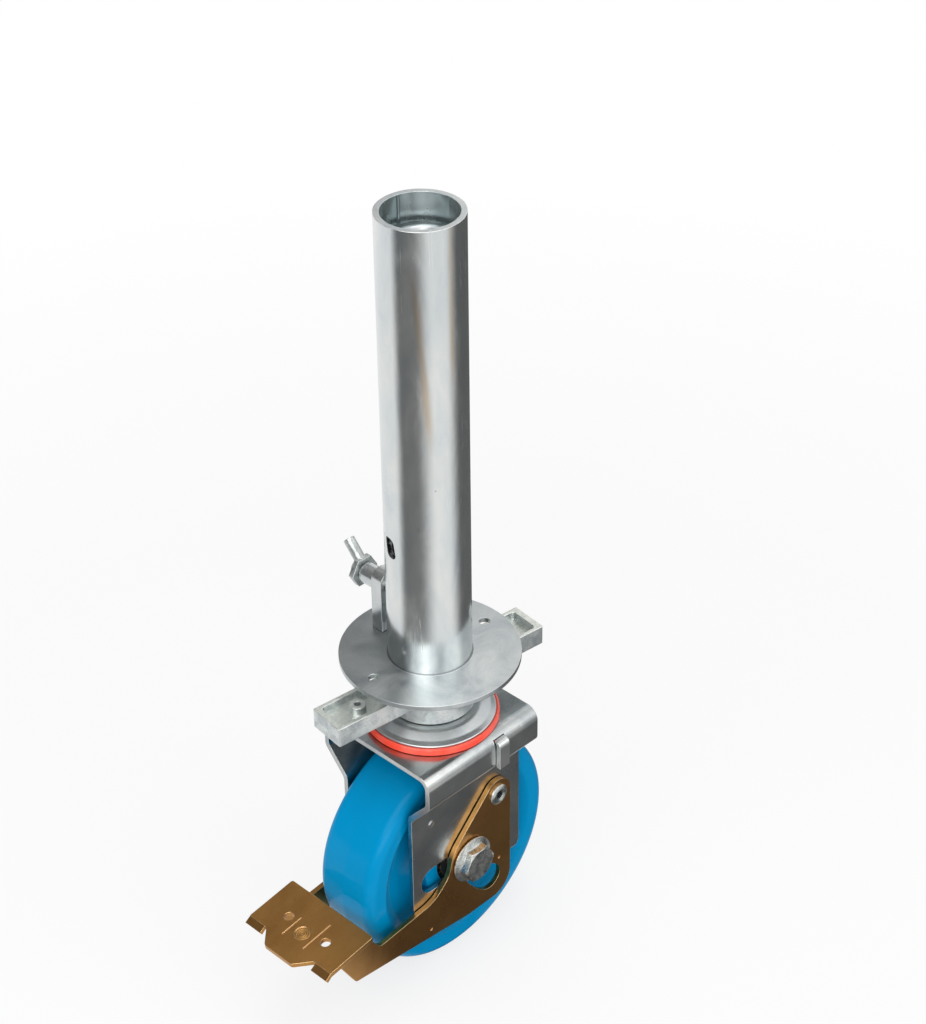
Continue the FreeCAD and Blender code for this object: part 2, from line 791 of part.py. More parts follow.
def pivot_rivet(name, rotation):
    """Hollow rivet that the lever turns on, axis outwards from the leg."""
    body = new_body(name)
    bore = "rivet_bore / 2"
    foot = "rivet_d / 2 + rivet_foot"
    face = "(lever_out + pin_gap)"
    turn(body, [
        (bore, "leg_in - 1"), (foot, "leg_in - 1"), (foot, "leg_in"), ("rivet_d / 2", "leg_in"),
        ("rivet_d / 2", face), ("rivet_head_d / 2", face),
        ("rivet_head_d / 2", f"{face} + rivet_head_thick / 2", "0.9"),
        ("rivet_head_d / 2 - 2.2", f"{face} + rivet_head_thick", "1.2"),
        (bore, f"{face} + rivet_head_thick - 0.8")])
    place(body, rotation, "pivot_x", "0", "pivot_z")


# Axle, wheel and bearings


def on_axle(body, rotation=ALONG_NEAR):
    place(body, rotation, "axle_x", "0", "axle_z")


def wheel():
    """Moulded wheel: crowned tread, round shoulders, dished web and hub."""
    body = new_body("wheel")
    edge = "wheel_r - tread_crown"
    half = [
        ("wheel_r", "0"), (edge, "wheel_half", "wheel_round"),
        ("wheel_r - rim_wide", "wheel_half", "3"),
        ("wheel_r - rim_wide - dish_slope", "wheel_half - web_depth", "6"),
        ("hub_out_d / 2", "wheel_half - web_depth", "3"), ("hub_out_d / 2 - 2", "hub_half", "1"),
        ("bearing_r", "hub_half"), ("bearing_r", "bearing_in_y"),
        ("bearing_r - 2.5", "bearing_in_y")]
    other = [(p[0], "-(" + p[1] + ")") + p[2:] for p in reversed(half[1:])]
    turn(body, half + other)
    on_axle(body)


def ring(name, inner, outer, low, high, rotation=ALONG_NEAR):
    body = new_body(name)
    turn(body, [(inner, low), (outer, low), (outer, high), (inner, high)])
    on_axle(body, rotation)
    return body


def bearing(side, rotation):
    low = "bearing_in_y"
    high = "bearing_out_y"
    middle = "(bearing_out_y - bearing_wide / 2)"
    inner = ring(f"bearing_{side}_inner", "sleeve_r", "sleeve_r + bearing_ring",
                 low, high, rotation)
    groove(inner, "ring_mid_r", middle, "bearing_ball_d / 2")
    outer = ring(f"bearing_{side}_outer", "bearing_r - bearing_ring", "bearing_r",
                 low, high, rotation)
    groove(outer, "ring_mid_r", middle, "bearing_ball_d / 2")
    ring(f"bearing_{side}_shield", "sleeve_r + bearing_ring + slide_gap",
         "bearing_r - bearing_ring", f"{high} - 0.4 - shield_thick", f"{high} - 0.4", rotation)
    ring_of_balls(f"bearing_{side}_balls", "bearing_balls", "bearing_ball_d",
                  "(bearing_od + sleeve_od) / 2", middle, rotation,
                  x="axle_x", z="axle_z")


def axle_washer(side, rotation):
    ring(f"axle_washer_{side}", "sleeve_r + pin_gap", "washer_od / 2",
         "bearing_out_y + pin_gap", "leg_in - slide_gap", rotation)


def flange_profile(inner):
    """Half section of the conical flange under a hexagon, from its outer edge in."""
    return [
        ("bolt_flange_d / 2 - 0.4", "head_face"), ("bolt_flange_d / 2", "head_face + 0.5"),
        ("bolt_flange_d / 2", "head_face + bolt_flange_edge"),
        ("bolt_flats / 2", "flange_face"), (inner, "flange_face")]


def axle_bolt():
    """Hexagon bolt with a flange, head towards the near side."""
    body = new_body("axle_bolt")
    end = "(flange_face + nut_hex_high + bolt_end)"
    turn(body, [
        ("0", f"-{end}"), ("axle_r - 1", f"-{end}"), ("axle_r", f"-({end} - 1)"),
        ("axle_r", "head_face")] + flange_profile("0"))
    head = sketch_on(body, "XY_Plane", "flange_face - 1")
    hexagon_outline(head, "bolt_flats")
    pad(body, head, "bolt_head_high + 1")
    bevel_corners(body, "bolt_flats", "(flange_face + bolt_head_high)")
    on_axle(body)


def axle_nut():
    body = new_body("axle_nut")
    turn(body, [("axle_r", "head_face")] + flange_profile("axle_r"))
    flats = sketch_on(body, "XY_Plane", "flange_face - 1")
    hexagon_outline(flats, "bolt_flats")
    circle(flats, "0", "0", "axle_r")
    pad(body, flats, "nut_hex_high + 1")
    bevel_corners(body, "bolt_flats", "(flange_face + nut_hex_high)")
    on_axle(body, ALONG_FAR)


def axle_set():
    axle_bolt()
    axle_nut()
    ring("axle_sleeve", "axle_r + pin_gap", "sleeve_r", "-head_face", "head_face")
    ring("bearing_spacer", "sleeve_r", "sleeve_r + spacer_wall", "-bearing_in_y", "bearing_in_y")
    wheel()
    for side, rotation in (("near", ALONG_NEAR), ("far", ALONG_FAR)):
        bearing(side, rotation)
        axle_washer(side, rotation)


# Brake lever


def brake_lever():
    """Bent sheet: pedal plate with a tongue and two lips, and two cheeks."""
    body = new_body("brake_lever")
    tread = sketch_on(body, "XY_Plane")
    tilt_sketch(tread)
    outline(tread, pedal_outline())
    pad(body, tread, "lever_sheet", backwards=True)
    for side in ("", "-"):
        add_cheek(body, side)
    add_lips(body)
    cut_pedal(body)
    cut_marks(body)


def tilt_sketch(sketch, down="0"):
    """Puts a sketch on the pedal's sloping top, its origin at the rear edge."""
    sketch.AttachmentOffset = FreeCAD.Placement(
        FreeCAD.Vector(value("pedal_rear_x"), 0, value("pedal_rear_z")),
        FreeCAD.Rotation(Y_AXIS, -value("pedal_tilt")))
    bind(sketch, "AttachmentOffset.Base.x", "pedal_rear_x")
    bind(sketch, "AttachmentOffset.Base.z", f"pedal_rear_z - {down}")


def pedal_outline():
    side = "pedal_wide / 2"
    front = "-pedal_deep"
    tip = "-(pedal_deep + pedal_tongue)"
    return [
        ("0", f"-{side}", "1.5"), ("0", side, "1.5"), (front, side), (front, "tongue_base", "1"),
        (tip, "tongue_tip", "2.5"), (tip, "-tongue_tip", "2.5"), (front, "-tongue_base", "1"),
        (front, f"-{side}")]


def cheek_outline():
    """Side view of a cheek, from the rounded head down the back and round."""
    right = "pivot_x + pivot_head"
    top = "pivot_z + pivot_head"
    return [
        (right, top, "pivot_head - 0.1"), ("pivot_x - neck_x", top, "pivot_head - 0.4"),
        ("axle_x - back_high_x", "axle_z + back_high_z", "22"),
        ("axle_x - back_low_x", "axle_z - back_low_z", "12"),
        ("axle_x - back_foot_x", "axle_z - back_foot_z", "22"),
        ("pedal_rear_x + throat_x", "pedal_rear_z - throat_z", "4"),
        ("pedal_rear_x - shoulder_x", "pedal_rear_z - shoulder_z"),
        ("pedal_rear_x - nose_x", "pedal_rear_z - nose_z"),
        ("pedal_rear_x - chin_x", "pedal_rear_z - chin_z", "3"),
        ("axle_x - sole_x", "sole_z", "40"), (right, "sole_z", "15")]


def add_cheek(body, side):
    lift = "lever_in" if side == "" else "-lever_out"
    cheek = sketch_on(body, "XZ_Plane", lift)
    outline(cheek, cheek_outline())
    pad(body, cheek, "lever_sheet")
    slot = sketch_on(body, "XZ_Plane", lift)
    circle(slot, "pivot_x", "pivot_z", "rivet_d / 2 + pin_gap")
    cam_outline(slot)
    cut(body, slot, "lever_sheet", backwards=True)


def cam_point(share):
    """Place of the axle in the lever's own frame, for a share of its travel."""
    back = math.radians(value("lever_turn")) * share
    across = value("axle_x") - value("axle_travel") * share - value("pivot_x")
    up = value("axle_z") - value("pivot_z")
    return FreeCAD.Vector(
        value("pivot_x") + across * math.cos(back) - up * math.sin(back),
        value("pivot_z") + across * math.sin(back) + up * math.cos(back), 0)


def cam_outline(sketch):
    """Curved slot that drives the axle as the lever turns."""
    start, middle, end = cam_point(0), cam_point(0.5), cam_point(1)
    centre = Part.Arc(start, middle, end).toShape().Curve.Center
    radius = value("sleeve_r") + value("slide_gap")
    reach = (start - centre).Length
    normal = lambda spot: (spot - centre).normalize()
    rail = lambda size: Part.Arc(*[centre + normal(s) * size for s in (start, middle, end)])
    ends = []
    for spot, out in ((start, start - cam_point(0.02)), (end, end - cam_point(0.98))):
        tip = spot + out.normalize() * radius
        ends.append(Part.Arc(
            spot + normal(spot) * radius, tip, spot - normal(spot) * radius))
    sketch.addGeometry([rail(reach + radius), ends[1], rail(reach - radius), ends[0]], False)
    first = sketch.GeometryCount - 4
    for i in range(4):
        sketch.addConstraint(Sketcher.Constraint("Block", first + i))


def add_lips(body):
    """Front edge beside the tongue, turned down."""
    for side in ("", "-"):
        lip = sketch_on(body, "XZ_Plane", f"{side}(tongue_base + lip_gap)")
        x = "pedal_rear_x - pedal_deep * cos(pedal_tilt * 1 deg)"
        z = "pedal_rear_z - pedal_deep * sin(pedal_tilt * 1 deg)"
        run = "lip_deep * cos((pedal_tilt + lip_turn) * 1 deg)"
        fall = "lip_deep * sin((pedal_tilt + lip_turn) * 1 deg)"
        outline(lip, [
            (f"{x} + 0.5", z), (f"{x} - {run}", f"{z} - {fall}"),
            (f"{x} - {run} + 1.6", f"{z} - {fall} - 2.4"), (f"{x} + 0.9", f"{z} - 2.9")])
        pad(body, lip, "pedal_wide / 2 - tongue_base - lip_gap", backwards=(side == "-"))


def cut_pedal(body):
    holes = sketch_on(body, "XY_Plane")
    tilt_sketch(holes)
    for side in ("", "-"):
        circle(holes, "-pedal_hole_at", f"{side}pedal_hole_side", "pedal_hole_d / 2")
    cut(body, holes, "lever_sheet + 1")
    marks = sketch_on(body, "XY_Plane")
    tilt_sketch(marks)
    circle(marks, "-stamp_at", "0", "stamp_d / 2")
    end = "-(pedal_deep - groove_end)"
    for side, start in (("", "groove_short"), ("-", "groove_long")):
        outline(marks, [
            (f"-{start}", f"{side}(groove_side - groove_wide / 2)"),
            (f"-{start}", f"{side}(groove_side + groove_wide / 2)"),
            (end, f"{side}(groove_side + groove_wide / 2)"),
            (end, f"{side}(groove_side - groove_wide / 2)")])
    cut(body, marks, "groove_deep")


def cut_marks(body):
    """Two punch marks on the near cheek."""
    marks = sketch_on(body, "XZ_Plane", "lever_out")
    circle(marks, "pivot_x + 0.6", "axle_z - 15.1", "mark_d / 2")
    circle(marks, "axle_x - 34.1", "sole_z + 9.8", "mark_d / 2")
    cut(body, marks, "mark_deep")


# Swivel lock plate and brake shoe


def lock_plate():
    """Ring round the cup, with an arm each side and a tab bent down outside."""
    body = new_body("lock_plate")
    plan = sketch_on(body, "XY_Plane", "lock_low")
    circle(plan, "0", "0", "lock_ring_r + lock_ring_wide")
    circle(plan, "0", "0", "lock_ring_r")
    pad(body, plan, "lock_thick")
    start = "(lock_ring_r - 0.5)"
    for side in ("", "-"):
        arm = sketch_on(body, "YZ_Plane", "tab_x - tab_wide / 2")
        outline(arm, [
            (f"{side}{start}", "lock_low"), (f"{side}tab_in", "lock_low"), (f"{side}tab_in", "tab_low"),
            (f"{side}tab_out", "tab_low"), (f"{side}tab_out", "lock_top", "tab_bend"),
            (f"{side}{start}", "lock_top")])
        pad(body, arm, "tab_wide")


def brake_shoe():
    """Bracket under the plate's rear edge whose end follows the tread."""
    body = new_body("brake_shoe")
    side = sketch_on(body, "XZ_Plane")
    outline(side, [
        ("fork_rear - shoe_hook", "plate_low"), ("fork_rear", "plate_low", "3"),
        ("fork_rear", "axle_z + shoe_low"), ("fork_rear - shoe_deep", "axle_z + shoe_low"),
        ("fork_rear - shoe_deep", "axle_z + shoe_top"),
        ("fork_rear - shoe_sheet", "axle_z + shoe_top"),
        ("fork_rear - shoe_sheet", "plate_low - shoe_sheet"),
        ("fork_rear - shoe_hook", "plate_low - shoe_sheet")])
    pad(body, side, "shoe_wide", both=True)
    tread = sketch_on(body, "XZ_Plane")
    circle(tread, "axle_x", "axle_z", "wheel_r + shoe_gap")
    cut(body, tread, "shoe_wide * 2", both=True)


def check_and_write():
    DOC.recompute()
    for item in DOC.Objects:
        if "Invalid" in item.State or "Error" in item.State:
            raise RuntimeError(f"{item.Name} failed: {item.State}")
    os.makedirs("parts", exist_ok=True)
    for item in NODES:
        if item.Shape.isNull() or not item.Shape.isValid():
            raise RuntimeError(f"{item.Label} has no valid shape")
        item.Shape.exportStep(f"parts/{item.Label}.step")


fill_sheet()
frame_tube()
tube_flange()
retaining_strip()
screw_boss()
retaining_screw()
pressure_pad()
spindle()
spindle_nut()
swivel_head()
fork()
pivot_rivet("pivot_rivet_near", ALONG_NEAR)
pivot_rivet("pivot_rivet_far", ALONG_FAR)
axle_set()
brake_lever()
lock_plate()
brake_shoe()
check_and_write()
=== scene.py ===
"""Looks of the scaffold castor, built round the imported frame, in metres."""

import json
import math

import bpy
from mathutils import Matrix, Vector

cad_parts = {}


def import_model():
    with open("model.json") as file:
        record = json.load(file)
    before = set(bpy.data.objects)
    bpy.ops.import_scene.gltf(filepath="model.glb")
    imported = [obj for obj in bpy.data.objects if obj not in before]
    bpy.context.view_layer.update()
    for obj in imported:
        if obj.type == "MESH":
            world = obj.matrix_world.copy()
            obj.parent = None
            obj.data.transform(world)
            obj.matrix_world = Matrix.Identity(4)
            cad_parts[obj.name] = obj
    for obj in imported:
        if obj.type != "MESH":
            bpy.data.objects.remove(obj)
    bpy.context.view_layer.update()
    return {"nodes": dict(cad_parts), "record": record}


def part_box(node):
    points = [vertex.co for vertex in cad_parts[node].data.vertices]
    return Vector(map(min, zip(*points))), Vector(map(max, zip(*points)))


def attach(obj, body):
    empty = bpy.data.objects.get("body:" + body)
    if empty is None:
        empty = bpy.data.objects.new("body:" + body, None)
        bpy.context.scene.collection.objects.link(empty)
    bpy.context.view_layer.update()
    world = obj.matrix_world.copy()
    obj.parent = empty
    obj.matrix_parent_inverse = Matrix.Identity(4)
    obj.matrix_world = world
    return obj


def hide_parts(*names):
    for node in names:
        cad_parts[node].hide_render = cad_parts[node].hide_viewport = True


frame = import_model()

MM = 0.001

# Camera, solved from the photograph's perspective
CAMERA_AT = Vector((-0.7630, -0.7843, 1.0590))
CAMERA_AZIMUTH = math.radians(-45.247)
CAMERA_ELEVATION = math.radians(34.437)
CAMERA_ROLL = math.radians(-0.748)
CAMERA_NEAR, CAMERA_END = 0.05, 50
FOCAL_PIXELS = 2420.564
IMAGE_HEIGHT = 1024
SENSOR = 36.0

# Coarse thread of the spindle, with the crest's and the flank's share of half a pitch
THREAD_PITCH = 8 * MM
THREAD_DEPTH = 1.7 * MM
THREAD_CREST = 0.30
THREAD_FLANK = 0.42
THREAD_STEPS = 72
THREAD_STATIONS = 10
SPINDLE_BORE = 9.5 * MM
SPINDLE_BEVEL = 1.5 * MM

# Weld seam inside the tube, which wanders by a wave from station to station
TUBE_WALL = 3.2 * MM
SEAM_TURN = math.radians(78)
SEAM_WIDE = 2.2 * MM
SEAM_HIGH = 0.9 * MM
SEAM_STEPS, SEAM_STATIONS = 6, 60
SEAM_WANDER = 0.15 * MM
SEAM_WAVE = 1.7

# What lies nearer the spindle's axis than this is the tube's bore
TUBE_INSIDE = 21.4 * MM

# Painted shade: a dark line where the flange meets the tube; and the tilt of the flange's shading
FOOT_SHADE = 24.8 * MM
FLANGE_CONE = 0.12

# Turned face of the round stamp on the pedal, painted paler as a highlight
STAMP_AT = (-108.2 * MM, 0.0, 67.6 * MM)
STAMP_REACH = 4.7 * MM
STAMP_PITCH = 1.2 * MM

# Samples of the normals that round the edges off
EDGE_SAMPLES = 6

# Studio: up to the near distance the floor shows this share of white, and from the far one it is white
FLOOR_REACH = 12.0
FLOOR_GREY = 0.72
WHITE_SHARE = 0.76
WHITE_NEAR, WHITE_FAR = 0.45, 1.0
SKY_GLOW = 0.62

# Dark cards: quads each way, reach, turn per metre as they come close, lift and the high one's radius
CARD_STEPS = 48
CARD_FAR = 2.0
CARD_LEAN_FROM = 0.30
CARD_LEAN = math.radians(360)
CARD_LIFT = MM
CARD_HIGH = 6.0


def camera():
    a, e = CAMERA_AZIMUTH, CAMERA_ELEVATION
    back = Vector((math.sin(a) * math.cos(e), -math.cos(a) * math.cos(e), math.sin(e)))
    side = Vector((math.cos(a), math.sin(a), 0))
    up = back.cross(side)
    right = math.cos(CAMERA_ROLL) * side + math.sin(CAMERA_ROLL) * up
    top = math.cos(CAMERA_ROLL) * up - math.sin(CAMERA_ROLL) * side
    lens = bpy.data.cameras.new("camera")
    lens.sensor_width = SENSOR
    lens.lens = FOCAL_PIXELS * SENSOR / IMAGE_HEIGHT
    lens.clip_start = CAMERA_NEAR
    lens.clip_end = CAMERA_END
    thing = bpy.data.objects.new("camera", lens)
    thing.matrix_world = Matrix.Translation(CAMERA_AT) @ Matrix(
        (right, top, back)).transposed().to_4x4()
    bpy.context.scene.collection.objects.link(thing)
    bpy.context.scene.camera = thing


def rgb(red, green, blue):
    """Linear colour of a screen colour from 0 to 255."""
    def line(level):
        share = level / 255
        return share / 12.92 if share <= 0.04045 else ((share + 0.055) / 1.055) ** 2.4
    return line(red), line(green), line(blue)


def rgba(tone):
    return (*tone, 1) if isinstance(tone, tuple) and len(tone) == 3 else tone


class Shader:
    """A material's node tree, with short calls to add nodes and join them."""

    def __init__(self, name, tree=None):
        if tree is None:
            self.material = bpy.data.materials.new(name)
            self.material.use_nodes = True
            tree = self.material.node_tree
        self.tree = tree
        self.tree.nodes.clear()

    def add(self, kind, **inputs):
        node = self.tree.nodes.new("ShaderNode" + kind)
        for key, given in inputs.items():
            socket = key.replace("_", " ")
            if socket in node.inputs:
                self.put(given, node.inputs[socket])
            else:
                setattr(node, key, given)
        return node

    def put(self, given, socket):
        if isinstance(given, bpy.types.NodeSocket):
            self.tree.links.new(given, socket)
        else:
            socket.default_value = given

    def maths(self, operation, a, b=0.0):
        node = self.tree.nodes.new("ShaderNodeMath")
        node.operation = operation
        self.put(a, node.inputs[0])
        self.put(b, node.inputs[1])
        return node.outputs[0]

    def plus(self, a, b):
        return self.maths("ADD", a, b)

    def minus(self, a, b):
        return self.maths("SUBTRACT", a, b)

    def times(self, a, b):
        return self.maths("MULTIPLY", a, b)

    def ramp(self, fac, *stops):
        """Each stop is (place, grey)."""
        node = self.add("ValToRGB", Fac=fac)
        marks = node.color_ramp.elements
        while len(marks) < len(stops):
            marks.new(0.5)
        for mark, (spot, grey) in zip(marks, stops):
            mark.position = spot
            mark.color = (grey, grey, grey, 1)
        return node.outputs["Color"]

    def rise(self, fac, low, high):
        """0 up to low, 1 from high on."""
        return self.ramp(fac, (low, 0.0), (high, 1.0))

    def mix(self, fac, a, b):
        node = self.tree.nodes.new("ShaderNodeMix")
        node.data_type = "RGBA"
        self.put(fac, node.inputs[0])
        self.put(rgba(a), node.inputs[6])
        self.put(rgba(b), node.inputs[7])
        return node.outputs[2]

    def over(self, tone, cover, share, colour):
        """The tone with a colour over it, which hides it by share where cover is 1."""
        return self.mix(self.times(cover, share), tone, colour)

    def place(self, stretch=(1, 1, 1), lean=0.0):
        """Object coordinates, leant and stretched so that patterns can run one way."""
        spot = self.add("TexCoord").outputs["Object"]
        if stretch == (1, 1, 1):
            return spot
        return self.add("Mapping", Vector=spot, Scale=stretch,
                        Rotation=(0, lean, lean)).outputs["Vector"]

    def noise(self, scale, detail=4.0, rough=0.55, stretch=(1, 1, 1), twist=0.0, lean=0.0):
        node = self.add("TexNoise", Vector=self.place(stretch, lean), Scale=scale, Detail=detail,
                        Roughness=rough, Distortion=twist)
        return node.outputs["Fac"]

    def crystals(self, scale):
        """One grey for each cell."""
        cell = self.add("TexVoronoi", Vector=self.place(), Scale=scale)
        return self.add("RGBToBW", Color=cell.outputs["Color"]).outputs["Val"]

    def specks(self, scale, size, share):
        """1 in small spots, in a share of the cells."""
        cell = self.add("TexVoronoi", Vector=self.place(), Scale=scale)
        spot = self.maths("LESS_THAN", cell.outputs["Distance"], size)
        pick = self.add("RGBToBW", Color=cell.outputs["Color"]).outputs["Val"]
        return self.times(spot, self.maths("LESS_THAN", pick, share))

    def scratches(self, scale, lean, wide=0.008):
        """1 along sparse thin lines that lean away from the axis."""
        lines = self.noise(scale, 0, 0.5, (1, 1, 0.03), 0.1, lean)
        line = self.ramp(lines, (0.5 - wide, 0.0), (0.5, 1.0), (0.5 + wide, 0.0))
        some = self.rise(self.noise(33, 2, 0.5), 0.57, 0.66)
        return self.times(line, some)

    def run(self, turn, at, slope, wide, low, high):
        """1 along a run down the tube, from high to low.

        turn is its place round the tube at the height at, and slope its turn per metre.
        """
        spot = self.add("SeparateXYZ", Vector=self.place())
        around = self.maths("ARCTAN2", spot.outputs["Y"], spot.outputs["X"])
        above = self.minus(spot.outputs["Z"], at)
        aside = self.minus(self.minus(around, turn), self.times(above, slope))
        near = self.ramp(self.maths("DIVIDE", self.maths("ABSOLUTE", aside), wide),
                         (0.2, 1.0), (1.0, 0.0))
        middle = self.minus(spot.outputs["Z"], (low + high) / 2)
        along = self.maths("DIVIDE", self.maths("ABSOLUTE", middle), (high - low) / 2)
        return self.times(near, self.ramp(along, (0.6, 1.0), (1.0, 0.0)))

    def radius(self):
        """Distance from the spindle's axis."""
        spot = self.add("SeparateXYZ", Vector=self.place())
        x, y = spot.outputs["X"], spot.outputs["Y"]
        return self.maths("POWER", self.plus(self.times(x, x), self.times(y, y)), 0.5)

    def within(self, reach):
        """1 nearer the spindle's axis than reach, 0 outside."""
        return self.maths("LESS_THAN", self.radius(), reach)

    def level(self):
        """1 on faces that look up, 0 on walls."""
        way = self.add("SeparateXYZ", Vector=self.add("NewGeometry").outputs["Normal"])
        return self.rise(way.outputs["Z"], 0.55, 0.90)

    def rounded(self, radius):
        """Normals that turn round the edges as a small radius would."""
        return self.add("Bevel", samples=EDGE_SAMPLES, Radius=radius).outputs["Normal"]

    def edges_worn_and_lit(self, radius, low=0.02, high=0.25):
        """1 on edges, 0 on open faces."""
        dot = self.add("VectorMath", operation="DOT_PRODUCT")
        self.put(self.add("NewGeometry").outputs["Normal"], dot.inputs[0])
        self.put(self.rounded(radius), dot.inputs[1])
        return self.rise(self.minus(1.0, dot.outputs["Value"]), low, high)

    def bump(self, height, strength, distance, under):
        """Bumps on top of the normals that lie under them."""
        return self.add("Bump", Height=height, Strength=strength, Distance=distance,
                        Normal=under).outputs["Normal"]

    def finish(self, normal, **inputs):
        surface = self.add("BsdfPrincipled", Normal=normal, **inputs)
        self.put(surface.outputs["BSDF"], self.add("OutputMaterial").inputs["Surface"])
        return self.material

    def blend(self, fac, near, far, out):
        """Mix of two whole shaders, put into the tree's output node."""
        both = self.add("MixShader")
        self.put(fac, both.inputs[0])
        self.put(near.outputs[0], both.inputs[1])
        self.put(far.outputs[0], both.inputs[2])
        self.put(both.outputs[0], self.add(out).inputs["Surface"])


# Materials


def zinc_tube():
    """Bright drawn tube: clouds, streaks, scratches, tan runs, a worn rim and a satin bore."""
    s = Shader("zinc_tube")
    streak = s.noise(30, 4, 0.55, (1, 1, 0.03))
    cloud = s.noise(34, 5, 0.62, (1, 1, 0.5), 0.8)
    blotch = s.noise(11, 4, 0.6, (1, 1, 0.35), 0.6)
    smear = s.rise(s.noise(60, 6, 0.7, (1, 1, 0.4), 1.2), 0.50, 0.72)
    fine = s.maths("MAXIMUM", s.scratches(90, 0.5), s.scratches(130, -0.3))
    tone = s.mix(s.rise(cloud, 0.35, 0.65), rgb(205, 211, 214), rgb(226, 228, 225))
    tone = s.over(tone, s.rise(blotch, 0.42, 0.68), 0.45, rgb(183, 190, 191))
    tone = s.over(tone, s.rise(streak, 0.4, 0.75), 0.30, rgb(186, 193, 196))
    tone = s.over(tone, smear, 0.22, rgb(236, 238, 238))
    front = s.run(turn=math.radians(-135.5), at=0.415, slope=-2.9, wide=0.13, low=0.36, high=0.475)
    side = s.run(turn=math.radians(-95.6), at=0.46, slope=0.0, wide=0.10, low=0.40, high=0.50)
    tan = s.times(s.maths("MAXIMUM", front, side), s.ramp(cloud, (0.3, 0.4), (0.6, 1.0)))
    tone = s.over(tone, tan, 0.48, rgb(206, 172, 124))
    tone = s.over(tone, s.specks(150, 0.10, 0.12), 0.5, rgb(118, 120, 122))
    tone = s.over(tone, fine, 0.5, rgb(246, 247, 247))
    inside = s.within(TUBE_INSIDE)
    bore = s.mix(s.rise(cloud, 0.35, 0.65), rgb(176, 190, 192), rgb(206, 214, 213))
    tone = s.mix(inside, tone, bore)
    chip = s.ramp(s.noise(210, 4, 0.7), (0.46, 0.25), (0.56, 1.0))
    edge = s.times(s.edges_worn_and_lit(0.8 * MM, 0.01, 0.12), chip)
    tone = s.over(tone, edge, 0.9, rgb(250, 250, 249))
    gloss = s.plus(s.times(cloud, 0.16), 0.10)
    gloss = s.plus(gloss, s.times(smear, 0.08))
    gloss = s.plus(gloss, s.times(s.maths("MAXIMUM", fine, edge), 0.25))
    gloss = s.plus(gloss, s.times(inside, 0.06))
    metal = s.minus(1.0, s.times(inside, 0.12))
    wavy = s.bump(blotch, 0.5, 1.6 * MM, s.rounded(0.4 * MM))
    normal = s.bump(s.plus(streak, s.times(cloud, 0.8)), 0.10, 0.3 * MM, wavy)
    return s.finish(normal, Base_Color=tone, Metallic=metal, Roughness=gloss)


def zinc_plate(name="zinc_plate", dark=rgb(190, 196, 199), pale=rgb(217, 219, 217), cone=0.0,
               dull=0.0):
    """Satin zinc plate: clouds, speckle and rub marks.

    cone tilts a disc's shading outwards and draws a dark line of painted shade at the tube's foot.
    """
    s = Shader(name)
    patch = s.noise(38, 5, 0.62, twist=0.9)
    blotch = s.noise(14, 3, 0.55, twist=0.6)
    speck = s.noise(900, 2, 0.6)
    tone = s.mix(s.rise(patch, 0.34, 0.68), dark, pale)
    tone = s.over(tone, s.rise(blotch, 0.42, 0.66), 0.35, dark)
    tone = s.over(tone, s.rise(speck, 0.55, 0.72), 0.2, rgb(230, 231, 231))
    tone = s.over(tone, s.specks(110, 0.11, 0.10), 0.7, rgb(240, 241, 241))
    tone = s.over(tone, s.scratches(120, 0.9), 0.4, rgb(238, 239, 240))
    tone = s.over(tone, s.edges_worn_and_lit(0.7 * MM), 0.5, rgb(236, 237, 238))
    gloss = s.plus(s.plus(s.times(patch, 0.22), 0.15), dull)
    normal = s.bump(s.plus(speck, patch), 0.10, 0.2 * MM, s.rounded(0.5 * MM))
    if cone:
        # Painted shade: a dark ring on the flange round the tube's foot, where the two meet
        tone = s.over(tone, s.within(FOOT_SHADE), 0.75, rgb(92, 98, 100))
        normal = s.bump(s.times(s.radius(), -cone), 1.0, 1.0, normal)
    return s.finish(normal, Base_Color=tone, Metallic=1.0, Roughness=gloss)


def zinc_cast(name="zinc_cast", dark=rgb(166, 175, 178), pale=rgb(214, 219, 218), lit_top_and_wear=0.75):
    """Hot dip galvanised casting: lumpy spangled walls, faces that look up painted pale as top light,
    bright ridges.
    """
    s = Shader(name)
    lump = s.noise(240, 5, 0.6, twist=0.5)
    grain = s.noise(950, 3, 0.65)
    patch = s.noise(110, 5, 0.68, twist=0.5)
    tone = s.mix(s.rise(patch, 0.38, 0.62), dark, pale)
    tone = s.over(tone, s.crystals(260), 0.35, pale)
    # Painted light: faces that look up are painted pale, as lit tops against darker walls
    tone = s.over(tone, s.level(), lit_top_and_wear, rgb(232, 235, 226))
    tone = s.over(tone, s.rise(grain, 0.56, 0.68), 0.45, rgb(120, 127, 128))
    tone = s.over(tone, s.edges_worn_and_lit(1.0 * MM), 0.2 + 0.5 * lit_top_and_wear, rgb(242, 243, 241))
    gloss = s.plus(s.times(lump, 0.28), 0.20)
    normal = s.bump(s.plus(lump, s.times(grain, 0.35)), 0.4, 0.6 * MM, s.rounded(0.7 * MM))
    return s.finish(normal, Base_Color=tone, Metallic=0.85, Roughness=gloss)


